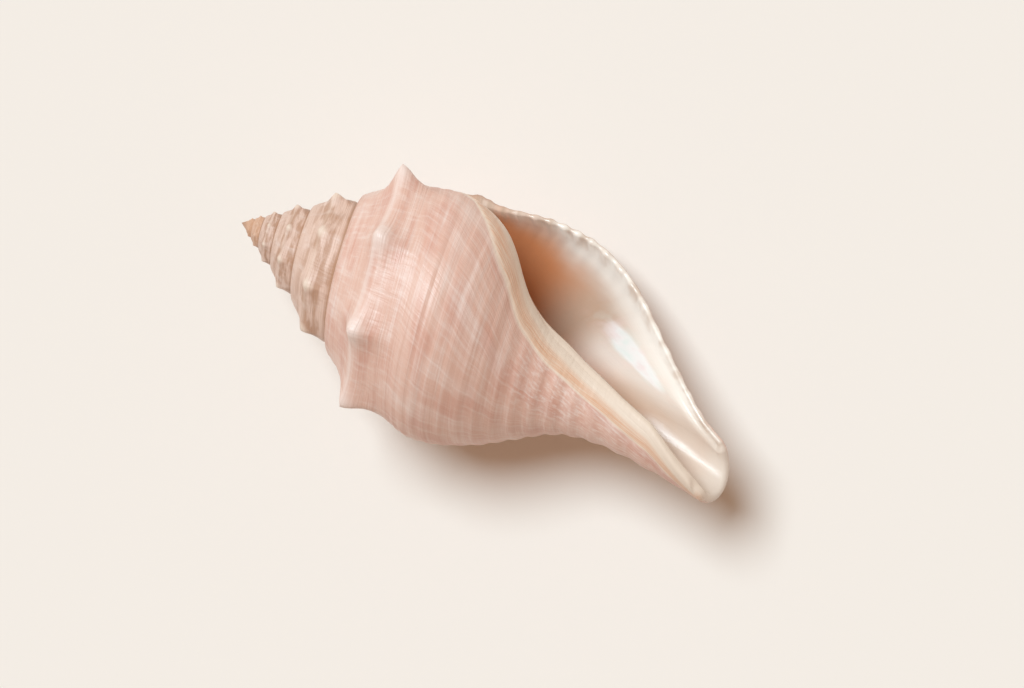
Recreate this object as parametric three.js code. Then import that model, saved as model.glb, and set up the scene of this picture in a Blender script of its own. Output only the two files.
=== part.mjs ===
// Conch shell: one hollow, right-handed, coiled sea shell with a knobbed shoulder and a long siphonal canal.
// Millimetres. The shell is built on its coiling axis (apex at zero, canal along the axis), then laid on its
// resting points with Z up, its long axis about along X and the origin under the middle of its box.
import * as THREE from "three";

// Driving dimensions ----------------------------------------------------------------------------------
const GROWTH = 1.66;              // size of one whorl over the whorl before it
const EARLIEST_TURN = -6;         // turns before the lip at which the modelled spire starts
const COLUMNS_PER_TURN = 48;      // facets round one whorl
const SPIRE_ROWS = 5;             // facets from suture to suture
const BASE_ROWS = 24;             // facets from the last suture level to the canal end
const RIM_STEPS = 3;              // facets over the rounded lip edge
const UPPER_WALL = 2.2;           // wall thickness at the shoulder
const BASE_WALL = 3.4;            // wall thickness from the base to the canal end
const FIRST_HOLLOW = 0.92;        // turns behind the lip over which the hollow takes its own shape
const FIRST_LOOPS = 13;
const LOOP_PACKING = 1.25;        // above 1, the first loops lie closer together near the rim
const SPIRE_HOLLOW = 1.9;         // further turns over which the hollow only shrinks with the coil
const LOOPS_PER_TURN = 9;
const LOOP_THINNING = 3;          // the spire hollow keeps every third point of a loop
const LIP_AZIMUTH = -32;          // degrees round the axis at which the lip edge lies; rises with growth

// Half outlines [radius, distance from the apex] at three growth stages, each from suture to canal end.
// With the suture point that is put in front, the first seven run from the suture to the level of the next one.
const SUTURE = [30, 49.5];
const START_TURN = -1;
const START_OUTLINE = [
  [20.6, 30.9], [23, 33.4], [25.1, 36.7], [27.7, 40.5], [28.9, 44.8], SUTURE,
  [31.5, 57.6], [30.3, 67.5], [26.2, 77.4], [17.6, 87], [11.2, 97.5], [9, 109.5], [9, 121.5], [9.5, 137],
  [10, 156],
];
const BACK_TURN = -0.5;
const BACK_OUTLINE = [
  [26, 39.6], [28.7, 43.3], [31.4, 47.7], [34.2, 52.6], [36, 58.2], [37.8, 63.3],
  [39.6, 69], [39.2, 75.6], [36, 84], [30.7, 93.6], [24.6, 103.2], [18.6, 113.4], [14.7, 126], [12.3, 143],
  [11, 163.5],
];
const LIP_OUTLINE = [
  [33, 51], [35.7, 54.3], [37.5, 59.1], [38.7, 64.5], [39.9, 70.5], [41.4, 77.4], [43.4, 85.2], [44.4, 93.6],
  [44.3, 102], [41.4, 111.6], [35.8, 121], [27.4, 131], [19, 141.6], [13.1, 151], [10.2, 159.6],
];
// Degrees by which the turn is cut short at the inner lip, so the canal stays open.
const OPENING_STEPS = [
  [1, 0], [1.12, 8], [1.25, 20], [1.38, 38], [1.5, 66], [1.62, 88], [1.75, 107], [1.89, 128], [2, 182],
];
// Radius of the fold that the inner lip turns over, as a share of the outline radius: whole previous whorl,
// columella, then canal edge.
const FOLD_STEPS = [
  [1, 1], [1.25, 1], [1.4, 0.88], [1.5, 0.75], [1.6, 0.58], [1.7, 0.35], [1.82, 0.19], [2, 0.17],
];
const STEP_ROUNDING = 0.35;       // how much of the reading between two steps is an S-curve, not a line

const KNOBS_PER_TURN = 8;
const KNOB_PHASE = 0.3;           // knob spacings from the lip to the first knob behind it, less one
const KNOB_HEIGHT = 7.2;
const KNOB_SIZES = [0.9, 1.6, 1.1, 0.7, 0.62, 0.95, 1.05, 1.75];   // uneven growth, counted back from the lip
const SPIRE_KNOBS = 0.62;         // their relative height on the spire
const LIP_KNOBS = 0.4;            // and at the lip
const KNOB_ACROSS = 0.62;         // place of the knobs between the sutures
const KNOB_HALF_WIDTH = 0.14;     // across the whorl
const KNOB_HALF_LENGTH = 0.15;    // along the whorl, in knob spacings
const RIDGE_HEIGHT = 1;           // shoulder ridge joining the knobs
const CANAL_BEND = 16.2;          // sideways reach of the canal, BEND_LENGTH past BEND_START along the axis
const BEND_START = 75, BEND_LENGTH = 90, BEND_POWER = 1.35;
const LIP_LEAN = 14;              // degrees by which the lip edge leans forward at the suture
const LIP_FLARE = 1.2;            // how far the lip edge turns outward

// Resting attitude, degrees: azimuth of the floor round the axis, and how far the canal end is lifted
const FLOOR_AZIMUTH = -87.7;
const CANAL_LIFT = 3.95;

const CORNER_ACROSS = 1.045;      // where the hollow starts below the suture, on the previous whorl
const CORNER_BLEND = 0.14;
const HOLLOW_TOP = 0.065;         // where the inside of the outer wall starts below the suture
// How far across the hollow's outer wall and its columella reach, by depth in turns
const OUTER_REACH = [[0, 2], [0.4, 1.58], [0.6, 1.42], [1, 1.3]];
const INNER_REACH = [[0, 2], [0.4, 1.6], [0.7, 1.51], [1, 1.42]];
const VALLEY_REACH = 1.3;         // roundness of the hollow's foot
const EDGE_STEP = 0.05;           // stretch of the columella that gives the foot its direction
const COLUMELLA_LAG = 0.65;       // share of the shrinking that the columella leaves out at its foot
const TIP_SWING = 45;             // degrees by which the rim's rounding turns at the corners of the canal end
// Spans [from, to] over which one form passes into the next, in turns or in places across the whorl
const KNOB_GAIN = [-1.15, -0.95], KNOB_FADE = [-0.12, 0];      // turns: from spire to body, and toward the lip
const FLARE_TURNS = [-0.1, 0], FLARE_TOP = [0.5, 1.2], FLARE_END = [1.7, 2];
const LEAN_TURNS = [-0.25, 0], LEAN_END = [0, 0.9];
const WALL_SPAN = [0.8, 1.5];     // shoulder wall to base wall
const CANAL_SPAN = [1.5, 1.85];   // columella to free canal edge
const LAG_SPAN = [1.1, 1.5];
const OPEN_DEPTHS = [0, 0.6];     // depth over which the cut at the inner lip closes
const SWING_SPAN = [1.8, 2], FIRST_CORNER = [0, 0.15], SECOND_CORNER = [0.8, 1], CORNER_SPAN = [1, 1.1];
const VALLEY_DEPTHS = [0.25, 0.5];
const SLOPE_STEP = 1e-3;
const APEX_HEIGHT = 0.6;

// Small maths -----------------------------------------------------------------------------------------
const radians = (degrees) => (degrees * Math.PI) / 180;
const mix = (a, b, share) => a + (b - a) * share;

/** Smooth step from 0 at `from` to 1 at `to`. */
function ease(from, to, value) {
  const share = Math.min(1, Math.max(0, (value - from) / (to - from)));
  return share * share * (3 - 2 * share);
}

/** Reading of a list of [place, value] steps, a little rounded at each step. */
function readSteps(steps, place) {
  if (place <= steps[0][0]) return steps[0][1];
  for (let i = 1; i < steps.length; i += 1) {
    const [end, value] = steps[i];
    const [start, before] = steps[i - 1];
    if (place <= end) {
      return mix(before, value, mix((place - start) / (end - start), ease(start, end, place), STEP_ROUNDING));
    }
  }
  return steps[steps.length - 1][1];
}

/** Catmull-Rom reading of a point list at place 0..1. */
function readCurve(points, place) {
  const last = points.length - 1;
  const along = Math.min(1, Math.max(0, place)) * last;
  const index = Math.min(last - 1, Math.floor(along));
  const t = along - index;
  const before = points[index - 1] ?? points[0].map((v, k) => 2 * v - points[1][k]);
  const after = points[index + 2] ?? points[last].map((v, k) => 2 * v - points[last - 1][k]);
  return points[index].map((p1, k) => {
    const p0 = before[k], p2 = points[index + 1][k], p3 = after[k];
    const square = 2 * p0 - 5 * p1 + 4 * p2 - p3, cube = 3 * p1 - p0 - 3 * p2 + p3;
    return 0.5 * (2 * p1 + (p2 - p0) * t + square * t ** 2 + cube * t ** 3);
  });
}

// Outline of the growing shell ------------------------------------------------------------------------
/** One stage outline brought to the size it would have at the lip, with its suture point put in front. */
function normalise(outline, turn) {
  const size = GROWTH ** turn;
  return [SUTURE, ...outline.map(([radius, height]) => [radius / size, height / size])];
}
const STAGES = {
  start: normalise(START_OUTLINE, START_TURN),
  back: normalise(BACK_OUTLINE, BACK_TURN),
  lip: normalise(LIP_OUTLINE, 0),
};
const OUTLINE_SPANS = STAGES.lip.length - 1;
const UPPER_SPANS = 6;

/** Place on the outline curve for `across`: 0 suture, 1 level of the next suture, 2 canal end. */
function outlinePlace(across) {
  const spans = across <= 1 ? across * UPPER_SPANS : UPPER_SPANS + (across - 1) * (OUTLINE_SPANS - UPPER_SPANS);
  return spans / OUTLINE_SPANS;
}

/** Extra radius of the shoulder knobs and the ridge between them, at lip size. */
function knobRelief(turn, across) {
  const count = KNOB_PHASE - turn * KNOBS_PER_TURN;
  const nearest = Math.round(count);
  const away = Math.abs(count - nearest);
  const knobSize = KNOB_SIZES[nearest % KNOBS_PER_TURN];
  const strength = mix(SPIRE_KNOBS, 1, ease(...KNOB_GAIN, turn)) * mix(1, LIP_KNOBS, ease(...KNOB_FADE, turn));
  const over = Math.exp(-(((across - KNOB_ACROSS) / KNOB_HALF_WIDTH) ** 2));
  const lobe = Math.exp(-((away / KNOB_HALF_LENGTH) ** 2));
  return over * (KNOB_HEIGHT * knobSize * strength * lobe + RIDGE_HEIGHT);
}

/** [radius, height] of the outside at a turn (0 at the lip, -1 one whorl back) and a place across the whorl. */
function profile(turn, across, knobs) {
  const share = Math.min(1, Math.max(0, turn + 1));
  const weights = [(1 - share) ** 2, 2 * share * (1 - share), share ** 2];
  const place = outlinePlace(across);
  const [start, back, lip] = [STAGES.start, STAGES.back, STAGES.lip].map((stage) => readCurve(stage, place));
  const size = GROWTH ** turn;
  const [radius, height] = start.map((value, k) => {
    const middle = 2 * back[k] - 0.5 * (value + lip[k]);
    return (weights[0] * value + weights[1] * middle + weights[2] * lip[k]) * size;
  });
  const flared = ease(...FLARE_TOP, across) * (1 - ease(...FLARE_END, across));
  const flare = LIP_FLARE * ease(...FLARE_TURNS, turn) * flared;
  return [radius + flare + (knobs ? knobRelief(turn, across) * size : 0), height];
}

/** Degrees round the axis for a turn and a place across the whorl. */
function azimuth(turn, across) {
  const lean = LIP_LEAN * (1 - ease(...LEAN_END, across)) * ease(...LEAN_TURNS, turn);
  return LIP_AZIMUTH + lean + turn * (360 - readSteps(OPENING_STEPS, across));
}

/** Sideways offset of the canal at a height. */
function canalOffset(height) {
  return -CANAL_BEND * Math.max(0, (height - BEND_START) / BEND_LENGTH) ** BEND_POWER;
}

/** Point in the shell's own frame from radius, height and azimuth. */
function polar(radius, height, degrees) {
  const angle = radians(degrees);
  return new THREE.Vector3(radius * Math.cos(angle) + canalOffset(height), radius * Math.sin(angle), height);
}

/** Point of the outside. */
function outside(turn, across, knobs = true) {
  const [radius, height] = profile(turn, across, knobs);
  return polar(radius, height, azimuth(turn, across));
}

/** Wall thickness at a place across the whorl. */
const wallAt = (across) => mix(UPPER_WALL, BASE_WALL, ease(...WALL_SPAN, across));

/** Unit directions of growth, down the whorl and into the wall, free of the knobs. */
function wallDirections(turn, across) {
  const turn0 = Math.min(turn, -2 * SLOPE_STEP);
  const across0 = Math.min(across, 2 - 2 * SLOPE_STEP);
  const forward = outside(turn0 + SLOPE_STEP, across, false).sub(outside(turn0, across, false)).normalize();
  const down = outside(turn, across0 + SLOPE_STEP, false).sub(outside(turn, across0, false)).normalize();
  return { forward, down, inward: new THREE.Vector3().crossVectors(down, forward).normalize() };
}

// Inside of the shell ---------------------------------------------------------------------------------
/** How much of the inner lip at a place across is a free canal edge (1) rather than columella (0). */
const canalShare = (across) => ease(...CANAL_SPAN, across);

/** Inner lip surface: turns over a fold, the previous whorl, the columella or the canal edge. */
function innerLip(depth, rimShare, across) {
  const [radius, height] = profile(START_TURN, across, false);
  const fold = radius * readSteps(FOLD_STEPS, across);
  const edge = azimuth(START_TURN, across);
  const canal = canalShare(across);
  const opening = readSteps(OPENING_STEPS, across);
  const roll = 180 * rimShare * canal + (1 - canal) * (360 * depth + opening * ease(...OPEN_DEPTHS, depth));
  const point = polar(radius - fold, height, edge);
  point.x += fold * Math.cos(radians(edge - roll));
  point.y += fold * Math.sin(radians(edge - roll));
  const shrink = GROWTH ** (-depth * (1 - COLUMELLA_LAG * ease(...LAG_SPAN, across)) * (1 - canal));
  return point.multiplyScalar(shrink);
}

/** Inside of the outer wall. */
function innerWall(turn, across) {
  const { inward } = wallDirections(turn, across);
  return outside(turn, across, false).addScaledVector(inward, wallAt(across));
}

/** Rounded rim point: share 0 outside, 1 inside; `swing` turns the rounding from growth to the canal end. */
function rimPoint(turn, across, share, swing) {
  const { forward, down, inward } = wallDirections(turn, across);
  const round = Math.PI * share;
  const out = forward.multiplyScalar(Math.cos(radians(swing))).addScaledVector(down, Math.sin(radians(swing)));
  const point = outside(turn, across, share === 0);
  point.addScaledVector(inward, (wallAt(across) / 2) * (1 - Math.cos(round)));
  return point.addScaledVector(out.normalize(), (wallAt(across) / 2) * Math.sin(round));
}

// Loops from the rim into the hollow ------------------------------------------------------------------
const ROWS = SPIRE_ROWS + BASE_ROWS;
const acrossOfRow = (row) => (row <= SPIRE_ROWS ? row / SPIRE_ROWS : 1 + (row - SPIRE_ROWS) / BASE_ROWS);
const LOOP_PLACES = [
  ...Array.from({ length: ROWS + 1 }, (_, row) => ({ side: "lip", across: acrossOfRow(row) })),
  ...Array.from({ length: COLUMNS_PER_TURN }, (_, i) => ({ side: "tip", share: (i + 1) / COLUMNS_PER_TURN })),
  ...Array.from({ length: BASE_ROWS - 1 }, (_, i) => ({ side: "inner", across: acrossOfRow(ROWS - 1 - i) })),
];

/** Inside corner of the hollow under the suture. */
const cornerPoint = (depth) => innerLip(depth, 1, CORNER_ACROSS);

/** Loop over the rounded rim at a share of the rounding. */
function rimLoop(share) {
  return LOOP_PLACES.map(({ side, across, share: along }) => {
    if (side === "lip") {
      const point = rimPoint(0, across, share, TIP_SWING * ease(...SWING_SPAN, across));
      const corner = outside(0, 0).lerp(cornerPoint(0), share);
      return corner.lerp(point, ease(0, CORNER_BLEND, across));
    }
    if (side === "tip") {
      const swing = TIP_SWING * (1 + ease(...FIRST_CORNER, along) + 2 * ease(...SECOND_CORNER, along));
      return rimPoint(-along, 2, share, swing);
    }
    return innerLip(0, share, mix(CORNER_ACROSS, across, ease(...CORNER_SPAN, across)));
  });
}

/** Rounded foot of the hollow between the outer wall and the columella at a depth. */
function footPoint(depth, along) {
  const outer = readSteps(OUTER_REACH, depth), inner = readSteps(INNER_REACH, depth);
  const from = innerWall(-depth, outer), to = innerLip(depth, 1, inner);
  const trough = innerWall(mix(-depth, -1, along), mix(outer, inner, along));
  const missed = to.clone().sub(innerWall(-1, inner));
  trough.addScaledVector(missed, ease(0, 1, along));
  const reach = from.distanceTo(to) * VALLEY_REACH;
  const { down } = wallDirections(-depth, outer);
  const leave = down.multiplyScalar(reach);
  const arrive = innerLip(depth, 1, inner - EDGE_STEP).sub(to).normalize().multiplyScalar(reach);
  const t = along, t2 = t * t, t3 = t2 * t;
  const valley = from.clone().multiplyScalar(2 * t3 - 3 * t2 + 1).addScaledVector(leave, t3 - 2 * t2 + t);
  valley.addScaledVector(to, 3 * t2 - 2 * t3).addScaledVector(arrive, t3 - t2);
  return trough.lerp(valley, ease(...VALLEY_DEPTHS, depth));
}

/** Loop round the hollow at a depth in turns behind the lip. */
function hollowLoop(depth) {
  const outer = readSteps(OUTER_REACH, depth), inner = readSteps(INNER_REACH, depth);
  return LOOP_PLACES.map(({ side, across, share: along }) => {
    if (side === "lip") {
      const wall = innerWall(-depth, mix(HOLLOW_TOP, outer, across / 2));
      return cornerPoint(depth).lerp(wall, ease(0, CORNER_BLEND, across));
    }
    if (side === "tip") return footPoint(depth, along);
    return innerLip(depth, 1, mix(CORNER_ACROSS, inner, across - 1));
  });
}

/** The same loop carried further up the coil by a number of turns. */
function carriedLoop(loop, turns) {
  const axis = new THREE.Vector3(0, 0, 1);
  const angle = -2 * Math.PI * turns;
  return loop.map((point) => point.clone().applyAxisAngle(axis, angle).multiplyScalar(GROWTH ** -turns));
}

/** All loops of the hollow, from just behind the rim to the last one up the spire. */
function hollowLoops() {
  const shares = Array.from({ length: FIRST_LOOPS }, (_, i) => ((i + 1) / FIRST_LOOPS) ** LOOP_PACKING);
  const loops = shares.map((share) => hollowLoop(FIRST_HOLLOW * share));
  const thinned = loops[loops.length - 1].filter((_, i) => i % LOOP_THINNING === 0);
  const count = Math.round(SPIRE_HOLLOW * LOOPS_PER_TURN);
  for (let i = 1; i <= count; i += 1) loops.push(carriedLoop(thinned, i / LOOPS_PER_TURN));
  return loops;
}

// Mesh ------------------------------------------------------------------------------------------------
/** Collects shared points and triangles of one closed skin. */
class Skin {
  constructor() {
    this.points = [];
    this.faces = [];
  }

  addPoint(point) {
    this.points.push(point);
    return this.points.length - 1;
  }

  /** Two triangles between neighbouring pairs a-b and c-d. */
  addQuad(a, b, c, d) {
    this.faces.push([a, c, b], [b, c, d]);
  }

  /** Band between a closed loop and a next one that has as many points or one for every few. */
  addBand(loop, next) {
    const step = Math.ceil(loop.length / next.length);
    next.forEach((number, i) => {
      const after = next[(i + 1) % next.length];
      const group = loop.slice(i * step, (i + 1) * step + 1);
      if (group.length <= step) group.push(loop[0]);
      const half = Math.ceil((group.length - 1) / 2);
      for (let k = 0; k + 1 < group.length; k += 1) {
        this.faces.push([group[k], k < half ? number : after, group[k + 1]]);
      }
      this.faces.push([group[half], number, after]);
    });
  }

  toGeometry() {
    const geometry = new THREE.BufferGeometry();
    const values = this.points.flatMap((point) => [point.x, point.y, point.z]);
    geometry.setAttribute("position", new THREE.Float32BufferAttribute(values, 3));
    geometry.setIndex(this.faces.flat());
    geometry.computeVertexNormals();
    return geometry;
  }
}

/** Outside of the shell; returns the point numbers by column and row. */
function addOutside(skin) {
  const columns = -EARLIEST_TURN * COLUMNS_PER_TURN;
  const bodyStart = columns - COLUMNS_PER_TURN;
  const ids = [];
  for (let column = columns; column >= 0; column -= 1) {
    const turn = (column - columns) / COLUMNS_PER_TURN;
    const last = column >= bodyStart ? ROWS : SPIRE_ROWS;
    ids[column] = [];
    for (let row = 0; row <= last; row += 1) {
      const shared = row === SPIRE_ROWS && column <= bodyStart;
      const place = outside(turn, acrossOfRow(row));
      ids[column][row] = shared ? ids[column + COLUMNS_PER_TURN][0] : skin.addPoint(place);
    }
  }
  for (let column = 0; column < columns; column += 1) {
    const last = column >= bodyStart ? ROWS : SPIRE_ROWS;
    for (let row = 0; row < last; row += 1) {
      skin.addQuad(ids[column][row], ids[column][row + 1], ids[column + 1][row], ids[column + 1][row + 1]);
    }
  }
  return { ids, columns, bodyStart };
}

/** Point of the spire, closed by a fan over the first whorl. */
function addApex(skin, ids) {
  const apex = skin.addPoint(new THREE.Vector3(0, 0, APEX_HEIGHT));
  for (let column = 0; column < COLUMNS_PER_TURN; column += 1) {
    skin.faces.push([ids[column + 1][0], ids[column][0], apex]);
  }
  for (let row = 0; row < SPIRE_ROWS; row += 1) skin.faces.push([ids[0][row], ids[0][row + 1], apex]);
}

/** Lip rim, hollow and its blind end, hung on the open edge of the outside. */
function addInside(skin, { ids, columns, bodyStart }) {
  const edge = [
    ...ids[columns],
    ...Array.from({ length: COLUMNS_PER_TURN }, (_, i) => ids[columns - 1 - i][ROWS]),
    ...Array.from({ length: BASE_ROWS - 1 }, (_, i) => ids[bodyStart][ROWS - 1 - i]),
  ];
  const rim = Array.from({ length: RIM_STEPS }, (_, i) => rimLoop((i + 1) / RIM_STEPS));
  const loops = [...rim, ...hollowLoops()];
  let before = edge;
  for (const loop of loops) {
    const numbers = loop.map((place) => skin.addPoint(place));
    skin.addBand(before, numbers);
    before = numbers;
  }
  const last = loops[loops.length - 1];
  const middle = last.reduce((sum, point) => sum.add(point), new THREE.Vector3()).divideScalar(last.length);
  const end = skin.addPoint(middle);
  before.forEach((number, i) => skin.faces.push([before[(i + 1) % before.length], number, end]));
}

/** The whole shell on its coiling axis. */
function shellGeometry() {
  const skin = new Skin();
  const outer = addOutside(skin);
  addApex(skin, outer.ids);
  addInside(skin, outer);
  return skin.toGeometry();
}

/** Turns the shell from its coiling axis to its resting attitude, canal end toward +X. */
function restingRotation() {
  const lift = radians(CANAL_LIFT), side = radians(FLOOR_AZIMUTH);
  const level = Math.cos(lift);
  const up = new THREE.Vector3(-Math.cos(side) * level, -Math.sin(side) * level, Math.sin(lift));
  const along = new THREE.Vector3(0, 0, 1).addScaledVector(up, -up.z).normalize();
  return new THREE.Matrix4().makeBasis(along, up.clone().cross(along), up).transpose();
}

/** Lays the shell down and puts the origin under the middle of its box. */
function settle(geometry) {
  geometry.applyMatrix4(restingRotation());
  geometry.computeBoundingBox();
  const { min, max } = geometry.boundingBox;
  return geometry.translate(-(min.x + max.x) / 2, -(min.y + max.y) / 2, -min.z);
}

const material = new THREE.MeshStandardMaterial({ color: 0xe9c3b4, roughness: 0.35, metalness: 0 });
const shell = new THREE.Mesh(settle(shellGeometry()), material);
shell.name = "shell";
const conch = new THREE.Group();
conch.name = "conch_shell";
conch.add(shell);

export default conch;
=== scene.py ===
"""A conch shell lying free on a pale table: one coiled, knobbed sea shell with a glossy mouth and a siphonal canal.

The shell is described by how it grows. Three half outlines give its size and shape one whorl back, half a whorl
back and at the lip; every earlier whorl is the same shape, smaller by one growth factor. The skin is first laid out
uncoiled, as azimuth, radius and distance from the apex at lip size, and a Geometry Nodes tree shrinks and coils it,
raises the shoulder knobs, folds and spiral cords, and pleats the lip.
"""

from __future__ import annotations

import logging
import math
from dataclasses import dataclass, field
from enum import Enum

import bpy
import numpy as np
from mathutils import Matrix, Vector

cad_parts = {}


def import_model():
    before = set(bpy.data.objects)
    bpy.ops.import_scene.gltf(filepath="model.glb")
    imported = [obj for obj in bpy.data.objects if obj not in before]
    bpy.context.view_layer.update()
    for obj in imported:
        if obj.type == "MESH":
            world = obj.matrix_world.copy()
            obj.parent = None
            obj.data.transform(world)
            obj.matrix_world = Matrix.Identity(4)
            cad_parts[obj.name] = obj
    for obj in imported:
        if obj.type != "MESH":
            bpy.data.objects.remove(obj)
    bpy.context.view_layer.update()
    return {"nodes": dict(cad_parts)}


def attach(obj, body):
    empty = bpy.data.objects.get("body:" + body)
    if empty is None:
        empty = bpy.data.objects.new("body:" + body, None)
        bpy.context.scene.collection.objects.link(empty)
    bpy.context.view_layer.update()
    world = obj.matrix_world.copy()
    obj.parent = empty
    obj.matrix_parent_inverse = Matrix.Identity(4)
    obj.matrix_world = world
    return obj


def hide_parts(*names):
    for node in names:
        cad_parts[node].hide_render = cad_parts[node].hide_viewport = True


log = logging.getLogger("conch")

MM = 0.001
FULL_TURN = 360.0

Steps = tuple[tuple[float, float], ...]
Colour = tuple[float, float, float]


# Small maths ---------------------------------------------------------------------------------------------------
def ease(start: float, end: float, value: np.ndarray) -> np.ndarray:
    """Smooth step from 0 at start to 1 at end.

    Args:
        start: where the step begins.
        end: where it is complete.
        value: places to read it at.

    Returns:
        The step at each place, 0 to 1.
    """
    share = np.clip((np.asarray(value, dtype=float) - start) / (end - start), 0.0, 1.0)
    return share * share * (3.0 - 2.0 * share)


def mix(a: np.ndarray, b: np.ndarray, share: np.ndarray) -> np.ndarray:
    """Value between a at share 0 and b at share 1.

    Args:
        a: value at share 0.
        b: value at share 1.
        share: how far to go from a to b.

    Returns:
        The value in between.
    """
    return a + (b - a) * share


def read_steps(steps: Steps, place: np.ndarray) -> np.ndarray:
    """Reading of a list of (place, value) steps, a little rounded at each step.

    Args:
        steps: the (place, value) pairs, in order.
        place: places to read it at.

    Returns:
        The value at each place.
    """
    rounding = 0.35
    places = np.array([step[0] for step in steps])
    values = np.array([step[1] for step in steps])
    place = np.clip(np.asarray(place, dtype=float), places[0], places[-1])
    index = np.clip(np.searchsorted(places, place, side="left"), 1, len(steps) - 1)
    line = (place - places[index - 1]) / (places[index] - places[index - 1])
    curve = line * line * (3.0 - 2.0 * line)
    return mix(values[index - 1], values[index], rounding * curve + (1.0 - rounding) * line)


def read_curve(points: np.ndarray, place: np.ndarray) -> np.ndarray:
    """Catmull-Rom reading of a point list.

    Args:
        points: the points, one to a row.
        place: places to read it at, 0 at the first point and 1 at the last.

    Returns:
        One point for each place.
    """
    last = len(points) - 1
    padded = np.vstack([2 * points[0] - points[1], points, 2 * points[-1] - points[-2]])
    along = np.clip(np.asarray(place, dtype=float), 0.0, 1.0) * last
    index = np.minimum(last - 1, np.floor(along).astype(int))
    t = (along - index)[..., None]
    p0, p1, p2, p3 = (padded[index + k] for k in range(4))
    return 0.5 * (2 * p1 + (p2 - p0) * t + (2 * p0 - 5 * p1 + 4 * p2 - p3) * t**2 + (3 * p1 - p0 - 3 * p2 + p3) * t**3)


def unit(vectors: np.ndarray) -> np.ndarray:
    """Vectors brought to length 1.

    Args:
        vectors: one vector to a row.

    Returns:
        The unit vectors.
    """
    return vectors / np.maximum(np.linalg.norm(vectors, axis=-1, keepdims=True), 1e-12)


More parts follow.
